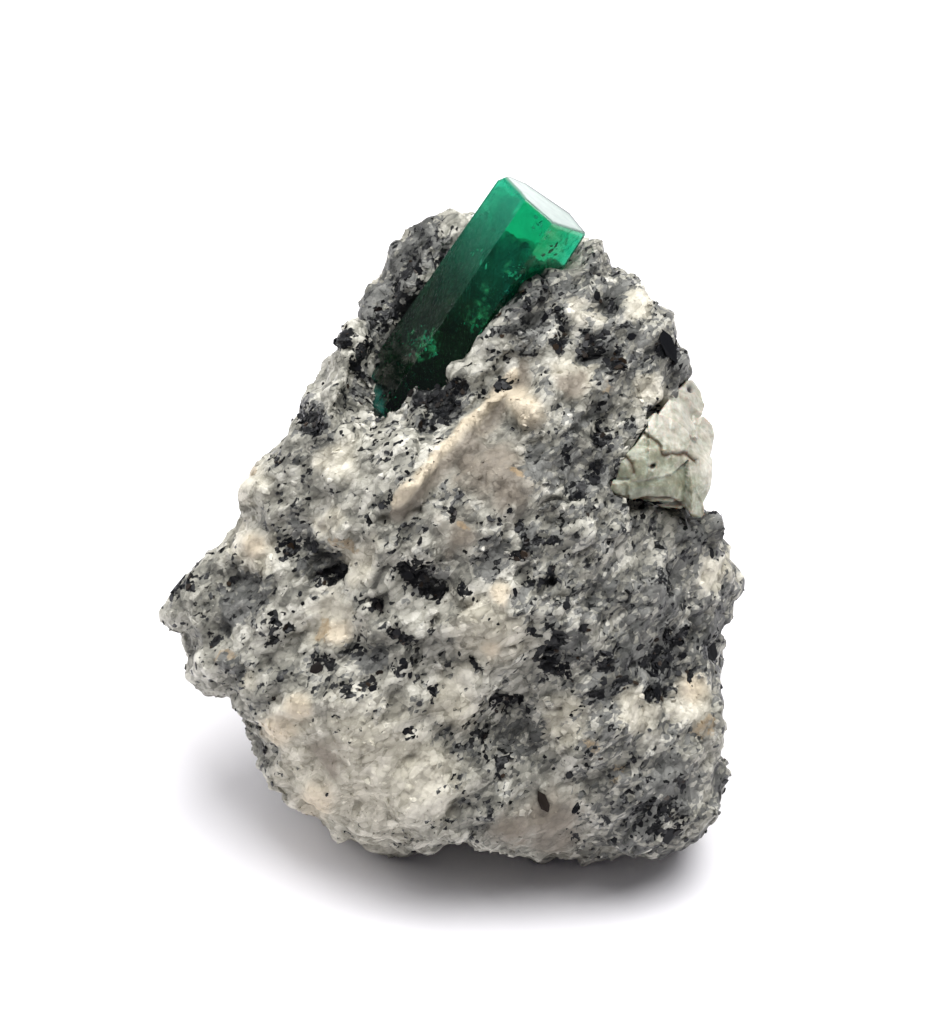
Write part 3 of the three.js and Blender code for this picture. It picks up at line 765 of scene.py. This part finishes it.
def mica_material(name):
    """Black to dark brown by each flake's own share, and glossy, with faint lines in the gloss."""
    material, shader, start = new_material(name, IOR=1.58, Specular_IOR_Level=0.15)
    place = start.node("ShaderNodeTexCoord", output="Object")
    colour = attribute(start, "brown").ramp((0.3, (0.006, 0.0065, 0.008)), (1.0, (0.030, 0.019, 0.011)))
    feed(start, shader, Base_Color=colour, Roughness=0.2 + 0.4 * noise(place, 0.1))
    return material


flake_piece.data.materials.append(mica_material("mica_black"))
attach(flake_piece, "root")


# Emerald: one six-sided prism of clear green beryl that grew in the vein before the rock closed round its
# foot. Its sides are flat with faint growth lines along their length and a dull, slightly etched gloss. Its
# free end is flat, one corner of it is chipped, and its foot is bruised where it meets the rock.

PRISM_LENGTH = 18.5
PRISM_RISE = np.radians(56)  # slope of its length across the broad face
PRISM_NOD = np.radians(9)  # the free end leans out of the face by this
PRISM_SIDES = [(30, 2.86), (90, 3.0), (150, 2.94), (210, 2.34), (270, 3.0), (330, 2.44)]  # angle and distance
POLE_SHARE = 0.02  # size of the innermost ring of an end, by the outermost
END_BEVEL = 0.12
END_TIP = 0.07  # slope of the free end, down towards the front
END_TIP_MIDDLE = 0.6  # share of that slope at the axis
END_TIP_GAIN = 0.28  # more of it for each millimetre to the right
END_TIP_LEAST = 0.2
END_TIP_FADE = 2.5  # the slope is lost this far down the sides
PRISM_FLARE = 0.006  # the sides spread by this share in each millimetre down from the flare's start
FLARE_START = 3.0
LINE_DEPTH = 0.0008  # of the growth lines
ETCH_DEPTH = 0.004
WORN_RIM = 0.8  # of the free end along its far edge, where it is rough and dark
CHIP_FACING = unit(np.array([-0.8, 0.1, 0.59]))
CHIP_DISTANCE = 2.2
VEIL_LENGTH = 6.5  # of the cloudy veil under the front left side, down from the free end
VEIL_EDGE = 0.02
FLECKS = [(3.7, 14.4, 0.7), (1.7, 11.8, 0.9), (-1.3, 10.2, 1.0), (2.2, 13.0, 0.8), (7.0, 16.2, 0.9)]
BRUISES = [(-4.75, 8.3, 0.5), (-4.3, 7.0, 0.5), (-3.9, 5.8, 0.5), (3.9, 12.8, 0.5)]


def prism_grid(each_side, along, cap):
    """Rings round the prism's axis, from the middle of the free end, down the sides, to the middle of the
    foot. On a ring each angle reaches the nearest side, distance / cos(angle - side), and the angles crowd
    to the corners."""
    angles, distances = np.array(PRISM_SIDES).T
    turns = np.radians(angles)
    facing = np.stack([np.cos(turns), np.sin(turns)], -1)
    pairs = np.stack([facing, np.roll(facing, -1, axis=0)], 1)
    corners = np.linalg.solve(pairs, np.stack([distances, np.roll(distances, -1)], -1)[..., None])[..., 0]
    corner_angle = np.unwrap(np.arctan2(corners[:, 1], corners[:, 0]))
    step = np.diff(corner_angle, append=corner_angle[0] + 2 * np.pi)
    crowded = 0.5 - 0.5 * np.cos(np.linspace(0, np.pi, each_side, endpoint=False))
    angle = (corner_angle[:, None] + step[:, None] * crowded).ravel()
    lean_on = np.cos(angle[:, None] - turns) / distances
    reach = 1 / np.max(lean_on, axis=1)
    inward = np.linspace(POLE_SHARE, 1, cap, endpoint=False)
    share = np.concatenate([inward, np.ones(along), inward[::-1]])
    depth = np.concatenate([np.zeros(cap), np.linspace(0, PRISM_LENGTH, along), np.full(cap, PRISM_LENGTH)])
    to_end = np.minimum(depth, PRISM_LENGTH - depth)
    bevel = END_BEVEL * np.clip(1 - to_end / END_BEVEL, 0, 1)
    radius = share[:, None] * (reach - bevel[:, None])
    level = np.broadcast_to(-depth[:, None], radius.shape)
    return np.stack([radius * np.cos(angle), radius * np.sin(angle), level], -1)


def ring_faces(rings, around):
    """Four-sided faces between each ring and the next, closed round, and in strips from side to side across
    the first ring and the last."""
    ring, step = np.meshgrid(np.arange(rings - 1), np.arange(around), indexing="ij")
    after = (step + 1) % around
    here, below = ring * around, (ring + 1) * around
    walls = np.stack([here + step, below + step, below + after, here + after], -1).reshape(-1, 4)
    strip = np.arange(around // 2 - 1)
    first = np.stack([strip, strip + 1, around - 2 - strip, around - 1 - strip], -1)
    last = (rings - 1) * around + first[:, ::-1]
    return np.concatenate([walls, first, last])


def to_sides(spots, facing):
    """Least way from spots in the prism, straight back (1) or to the front (-1), to the sides there."""
    angles, distances = np.array(PRISM_SIDES).T
    across, out = np.cos(np.radians(angles)), np.sin(np.radians(angles))
    met = out * facing > 0
    ways = (distances[met] - spots[:, :1] * across[met]) / out[met] - spots[:, 1:2]
    return np.min(np.abs(ways), axis=1)


prism_rings = prism_grid(each_side=40, along=110, cap=24)
rings, around = prism_rings.shape[:2]
prism = prism_rings.reshape(-1, 3)
lines = cloud(prism * [3.0, 3.0, 0.12], 1.0, 80) + 0.5 * cloud(prism * [9.0, 9.0, 0.2], 1.0, 81)
etched = cloud(prism, 1.6, 82)
outward = unit(prism * [1, 1, 0] + [1e-9, 0, 0])
straight = prism - np.clip(prism @ CHIP_FACING - CHIP_DISTANCE, 0, None)[:, None] * CHIP_FACING
flare = -PRISM_FLARE * (prism[:, 2] + FLARE_START) * np.linalg.norm(prism[:, :2], axis=1)
grown = straight + (flare + LINE_DEPTH * lines + ETCH_DEPTH * etched)[:, None] * outward
uphill = np.cos(PRISM_RISE) * ACROSS + np.sin(PRISM_RISE) * FACE_UP
prism_axis = np.cos(PRISM_NOD) * uphill + np.sin(PRISM_NOD) * FACE_OUT
prism_right = np.sin(PRISM_RISE) * ACROSS - np.cos(PRISM_RISE) * FACE_UP
prism_back = np.cross(prism_axis, prism_right)
prism_turn = np.stack([prism_right, prism_back, prism_axis])
straight = straight @ prism_turn
prism_low, prism_high = (np.array(corner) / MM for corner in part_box("emerald_crystal"))
prism_shift = (prism_low + prism_high - straight.min(0) - straight.max(0)) / 2
twisted = np.clip(END_TIP_MIDDLE + END_TIP_GAIN * prism[:, 0], END_TIP_LEAST, 1)
tipped = END_TIP * (PRISM_SIDES[1][1] - prism[:, 1]) * twisted
tipped = tipped * np.clip(1 + prism[:, 2] / END_TIP_FADE, 0, 1)
grown = grown @ prism_turn + prism_shift - tipped[:, None] * prism_axis

on_end = prism[:, 2] == 0
worn = on_end * np.clip(1.5 - to_sides(prism, 1) / WORN_RIM, 0, 1)
veil_angle, veil_distance = np.radians(PRISM_SIDES[3][0]), PRISM_SIDES[3][1]
under_veil = veil_distance - prism[:, 0] * np.cos(veil_angle) - prism[:, 1] * np.sin(veil_angle)
veiled = (under_veil < VEIL_EDGE) * np.clip(1 + prism[:, 2] / VEIL_LENGTH, 0, 1)
emerald = mesh_piece("emerald_prism", grown, ring_faces(rings, around))
bruise_spots = on_face(grown + 0.5 * cloud_shift(grown, 0.8, 84) + 0.25 * cloud_shift(grown, 0.3, 87))
# down is the share of the way down from the free end; it drives the painted glow and shade.
point_values(emerald, worn=worn, down=-prism[:, 2] / PRISM_LENGTH, bruised=patch_share(bruise_spots, BRUISES),
             fleck=patch_share(bruise_spots, FLECKS), frosted=on_end * 1.0, veiled=veiled)


def emerald_material(name):
    """Clear green: plain transmission into plain absorption. A cloudy green takes part of its place by
    drifting noise, more of it in the flecks, the bruises and the veil, and a dull dark one where the end is
    worn. The cloudy green is bright near the free end and darker down the crystal: painted glow where light
    comes through the free end, and painted shade where the crystal sits in the rock."""
    material, shader, start = new_material(name, IOR=1.577, Transmission_Weight=1.0, Specular_IOR_Level=0.22,
                                           Base_Color=(0.3, 1.0, 0.86, 1))
    tree = material.node_tree
    place = start.node("ShaderNodeTexCoord", output="Object")
    haze = noise(place, 1.2, 4.0) - 0.5
    speckle = noise(place, 0.35, 3.0) - 0.5
    feed(start, shader, Roughness=0.07 + 0.1 * haze)
    worn, bruised = attribute(start, "worn"), attribute(start, "bruised")
    # Painted glow near the free end, fading into painted shade down the crystal towards its foot.
    down = attribute(start, "down") + 0.3 * haze + 0.15 * speckle
    body = down.ramp((0.0, (0.004, 0.33, 0.19)), (0.2, (0.004, 0.22, 0.12)), (0.45, (0.010, 0.045, 0.018)),
                     (0.8, (0.008, 0.013, 0.012)))
    fleck = (attribute(start, "fleck") * (0.5 + 3.0 * speckle + 1.5 * haze)).step(0.25, 1.1)
    body = (0.8 * fleck).mix(body, (0.02, 0.22, 0.08, 1))
    frosted = attribute(start, "frosted")
    body = frosted.mix(body, (0.32, 0.43, 0.37, 1))
    body = bruised.mix(body, (0.008, 0.09, 0.07, 1))
    body = worn.mix(body, (0.02, 0.035, 0.03, 1))
    dull = {"Base Color": body, "Roughness": 0.3, "IOR": 1.577, "Specular IOR Level": 0.2}
    cloudy = start.node("ShaderNodeBsdfPrincipled", dull)
    share = 0.2 + 0.6 * haze + 0.5 * fleck + 0.6 * bruised + worn + 0.4 * frosted
    share = share + 0.35 * attribute(start, "veiled")
    mixed = start.node("ShaderNodeMixShader", {0: share, 1: Shade(tree, shader.outputs[0]), 2: cloudy})
    absorb = start.node("ShaderNodeVolumeAbsorption", {"Color": (0.04, 0.77, 0.59, 1), "Density": 900.0})
    out = tree.nodes["Material Output"]
    tree.links.new(mixed.socket, out.inputs["Surface"])
    tree.links.new(absorb.socket, out.inputs["Volume"])
    return material


emerald.data.materials.append(emerald_material("emerald_green"))
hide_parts("emerald_crystal")
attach(emerald, "root")


# Emerald inclusions: small healed cracks, and specks of dark mica, that the crystal closed over as it grew.
# The cracks glint pale under its front faces, and the specks make its middle darker and mottled.

INCLUSION_COUNTS = (70, 170)  # pale, dark
INCLUSION_WIDTHS = (0.04, 0.17)
INCLUSION_FORMS = ((0.8, 0.4, 0.04), (1.6, 0.9, 0.1))
INCLUSION_WOBBLE = 0.5
INCLUSION_RAGGED = (0.6, 1.2)
INCLUSION_DEPTHS = (0.5, 1.4)  # under the front faces
INCLUSION_LOW, INCLUSION_HIGH = (-2.6, 0, -14.5), (2.3, 0, -0.5)  # right, back and along from the free end
INCLUSION_TRIES = 20000
PALE_PLACES = [
    (3.7, 14.5, 0.5), (1.6, 11.8, 0.7), (-1.4, 10.2, 0.9), (5.3, 17.2, 0.5), (7.2, 16.0, 0.9),
    (2.0, 15.4, 0.5),
]
DARK_PLACES = [(4.2, 14.6, 1.0), (2.9, 13.0, 0.8), (0.9, 11.9, 0.9), (5.9, 15.7, 0.5), (-2.0, 8.6, 0.9)]

inner_draw = np.random.default_rng(13)
inner = inner_draw.uniform(INCLUSION_LOW, INCLUSION_HIGH, (INCLUSION_TRIES, 3))
inner[:, 1] = inner_draw.uniform(*INCLUSION_DEPTHS, len(inner)) - to_sides(inner, -1)
inner_places = on_face(inner @ prism_turn + prism_shift)
inner_at = [scattered(patch_share(inner_places, places) + 0.01, count, inner_draw)
            for places, count in zip((PALE_PLACES, DARK_PLACES), INCLUSION_COUNTS)]
inner_middles = inner[np.concatenate(inner_at)] @ prism_turn + prism_shift
inner_half = inner_draw.uniform(*INCLUSION_WIDTHS, len(inner_middles))
inner_form = inner_draw.uniform(*INCLUSION_FORMS, (len(inner_middles), 3))
inner_facing = np.broadcast_to(prism_back, inner_middles.shape)
inner_axes = turned_about(inner_facing, INCLUSION_WOBBLE, inner_draw)
inner_ragged = inner_draw.uniform(*INCLUSION_RAGGED, (len(inner_middles), len(plate)))
inner_scales = inner_half[:, None] * inner_form
inner_spots, inner_faces = copies(plate, plate_faces, inner_scales, inner_axes, inner_middles, inner_ragged)
inclusions = mesh_piece("emerald_inclusions", inner_spots, inner_faces, smooth=False)
inner_dark = np.repeat([0.0, 1.0], INCLUSION_COUNTS)
point_values(inclusions, dark=np.repeat(inner_dark, len(plate)))


def inclusion_material(name):
    """Pale healed cracks, or dark specks, by each one's own value."""
    material, shader, start = new_material(name, Roughness=0.5)
    feed(start, shader, Base_Color=attribute(start, "dark").mix((0.5, 0.8, 0.6, 1), (0.02, 0.016, 0.01, 1)))
    return material


inclusions.data.materials.append(inclusion_material("emerald_inclusion"))
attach(inclusions, "root")


# Pale beryl: a block of cloudy beryl, too pale for emerald, that broke through with the rock at the right
# edge. It is greenish grey below and nearer cream above, in chipped facets, with brown iron stain in its
# few cracks.

BERYL_SQUARES = 90
BERYL_SHARPNESS = 60  # of its edges, which are rounder with a lower power
BERYL_CHIP_SIZE, BERYL_FLAKE_SIZE = 2.3, 0.8
BERYL_CRACKS = [
    [(11.3, 5.3), (12.5, 4.3), (12.5, 3.8), (13.6, 3.9), (14.5, 3.5)],
    [(9.6, 1.6), (10.6, 1.1), (11.6, 1.15), (13.2, 1.0), (14.4, 0.3)],
    [(9.6, 3.6), (10.3, 3.7), (10.8, 3.3), (11.0, 2.8)],
]
CRACK_HALF_WIDTH = 0.1
BERYL_PITS = [(14.2, 7.3, 0.22), (11.9, 3.1, 0.15)]
BERYL_DIVIDE = [(9.0, 6.4), (11.3, 5.3), (13.6, 3.8), (15.5, 1.2)]  # cream above this line, green below it
beryl_normals, beryl_distances = node_planes(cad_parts["pale_beryl"])
beryl_low, beryl_high = (np.array(corner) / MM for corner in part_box("pale_beryl"))
beryl_middle = (beryl_low + beryl_high) / 2


def convex_skin(directions, middle, normals, distances, power):
    """The skin of a convex block: its reach along a direction is 1 / (sum of (slant / room)^p)^(1/p), where
    a plane's slant is the cosine to its normal and its room the distance from the middle to it."""
    slant = np.clip(directions @ normals.T, 0, 1) / (distances - normals @ middle)
    reach = np.sum(slant**power, axis=1) ** (-1 / power)
    return middle + reach[:, None] * directions


beryl_corners, beryl_faces = cube_shell(BERYL_SQUARES)
beryl_directions = unit(np.tan(beryl_corners * np.pi / 4))
block = convex_skin(beryl_directions, beryl_middle, beryl_normals, beryl_distances, BERYL_SHARPNESS)
block_spots = on_face(block + 0.25 * cloud_shift(block, 0.7, 240))
crack_way = np.min([np.abs(from_line(block_spots, line)) for line in BERYL_CRACKS], axis=0)
crack = np.exp(-((crack_way / CRACK_HALF_WIDTH) ** 2))
pit = patch_share(block_spots, BERYL_PITS)
chips, _, _ = grains(block, BERYL_CHIP_SIZE, 200, offset=0.15, tilt=0.5, dome=0.08)
flakes, _, _ = grains(block, BERYL_FLAKE_SIZE, 220, offset=0.06, tilt=0.45, dome=0.15)
block = block + (-0.7 * chips + 0.5 * flakes - 0.2 * crack - 0.3 * pit)[:, None] * beryl_directions
beryl = mesh_piece("beryl_block", block, beryl_faces)
point_values(beryl, crack=crack, pit=pit, above=from_line(block_spots, BERYL_DIVIDE))


def beryl_material(name):
    """Cloudy greenish grey, nearer cream above the divide, lighter and darker by drifting noise, brown in
    the cracks and black in the pits."""
    material, shader, start = new_material(name, IOR=1.57, Subsurface_Weight=0.3, Subsurface_Scale=0.6 * MM)
    place = start.node("ShaderNodeTexCoord", output="Object")
    drift = 0.7 * noise(place, 1.6, 4.0) + 0.3 * noise(place, 0.4, 3.0)
    green = drift.ramp((0.3, (0.12, 0.127, 0.08)), (0.5, (0.275, 0.283, 0.205)), (0.68, (0.54, 0.56, 0.455)))
    cream = drift.ramp((0.3, (0.21, 0.204, 0.157)), (0.5, (0.40, 0.389, 0.322)), (0.68, (0.62, 0.604, 0.525)))
    colour = (attribute(start, "above") + 2.0 * (drift - 0.5)).step(-0.6, 0.6).mix(green, cream)
    colour = attribute(start, "crack").mix(colour, (0.07, 0.042, 0.017, 1))
    colour = attribute(start, "pit").mix(colour, (0.014, 0.013, 0.012, 1))
    bump = start.node("ShaderNodeBump", {"Height": drift, "Strength": 0.5, "Distance": 0.2 * MM})
    feed(start, shader, Base_Color=colour, Roughness=0.25 + 0.3 * drift, Normal=bump)
    return material


beryl.data.materials.append(beryl_material("beryl_pale"))
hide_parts("pale_beryl")
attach(beryl, "root")


# Studio: a pale matte floor in soft light, mostly from above and the right, as on a small photographic
# table. The camera looks at the broad face square on, from the viewing distance.

FLOOR_REACH = 0.4
SKY_STRENGTH = 0.72
SKY_BRIGHTEST = (0.1, 0.45, 0.88)  # the soft light all round is dimmer away from here, towards the camera
CAMERA_AIM = FACE_MIDDLE + 0.91 * ACROSS + 0.35 * FACE_UP
PIXELS_PER_MM = 17.0
IMAGE_HEIGHT = 1024

floor_corners = np.array([[-1, -1, 0], [1, -1, 0], [1, 1, 0], [-1, 1, 0]]) * FLOOR_REACH / MM
floor = mesh_piece("floor", floor_corners - [0, 0, 0.01], np.array([[0, 1, 2, 3]]))
floor_material, _, _ = new_material("floor_white", Roughness=0.9, Base_Color=(0.895, 0.885, 0.91, 1))
floor.data.materials.append(floor_material)

world = bpy.data.worlds.new("studio")
world.use_nodes = True
sky = Shade(world.node_tree)
way = sky.node("ShaderNodeTexCoord", output="Generated")
from_behind = way.node("ShaderNodeVectorMath", {0: way, 1: SKY_BRIGHTEST}, output=1, operation="DOT_PRODUCT")
backdrop = world.node_tree.nodes["Background"]
bright = from_behind.ramp((0.0, (0.115, 0.11, 0.135)), (0.35, (0.14, 0.135, 0.16)), (0.9, (0.98, 0.97, 1.0)))
world.node_tree.links.new(bright.socket, backdrop.inputs["Color"])
backdrop.inputs["Strength"].default_value = SKY_STRENGTH
bpy.context.scene.world = world


def facing_angles(toward):
    """Angles that turn a light's or a camera's forward axis along a direction, with its up side up."""
    return Vector(toward).to_track_quat("-Z", "Y").to_euler()


def soft_light(name, place, size, power):
    """A square area light at a place, in metres, that faces the object."""
    lamp = bpy.data.lights.new(name, "AREA")
    lamp.shape = "SQUARE"
    lamp.size = size
    lamp.energy = power
    holder = bpy.data.objects.new(name, lamp)
    holder.location = place
    holder.rotation_euler = facing_angles(FACE_MIDDLE * MM - np.array(place))
    bpy.context.scene.collection.objects.link(holder)


soft_light("key", place=(0.1, 0.06, 0.5), size=0.5, power=4.7)
soft_light("fill", place=(-0.5, 0.15, 0.4), size=0.6, power=2.4)

lens = bpy.data.cameras.new("camera")
lens.sensor_width = 36.0
lens.lens = PIXELS_PER_MM * VIEW_DISTANCE * lens.sensor_width / IMAGE_HEIGHT
lens.clip_start = 0.01
camera = bpy.data.objects.new("camera", lens)
camera.location = (CAMERA_AIM + VIEW_DISTANCE * FACE_OUT) * MM
camera.rotation_euler = facing_angles(-FACE_OUT)
bpy.context.scene.collection.objects.link(camera)
bpy.context.scene.camera = camera
bpy.context.scene.view_settings.view_transform = "Standard"
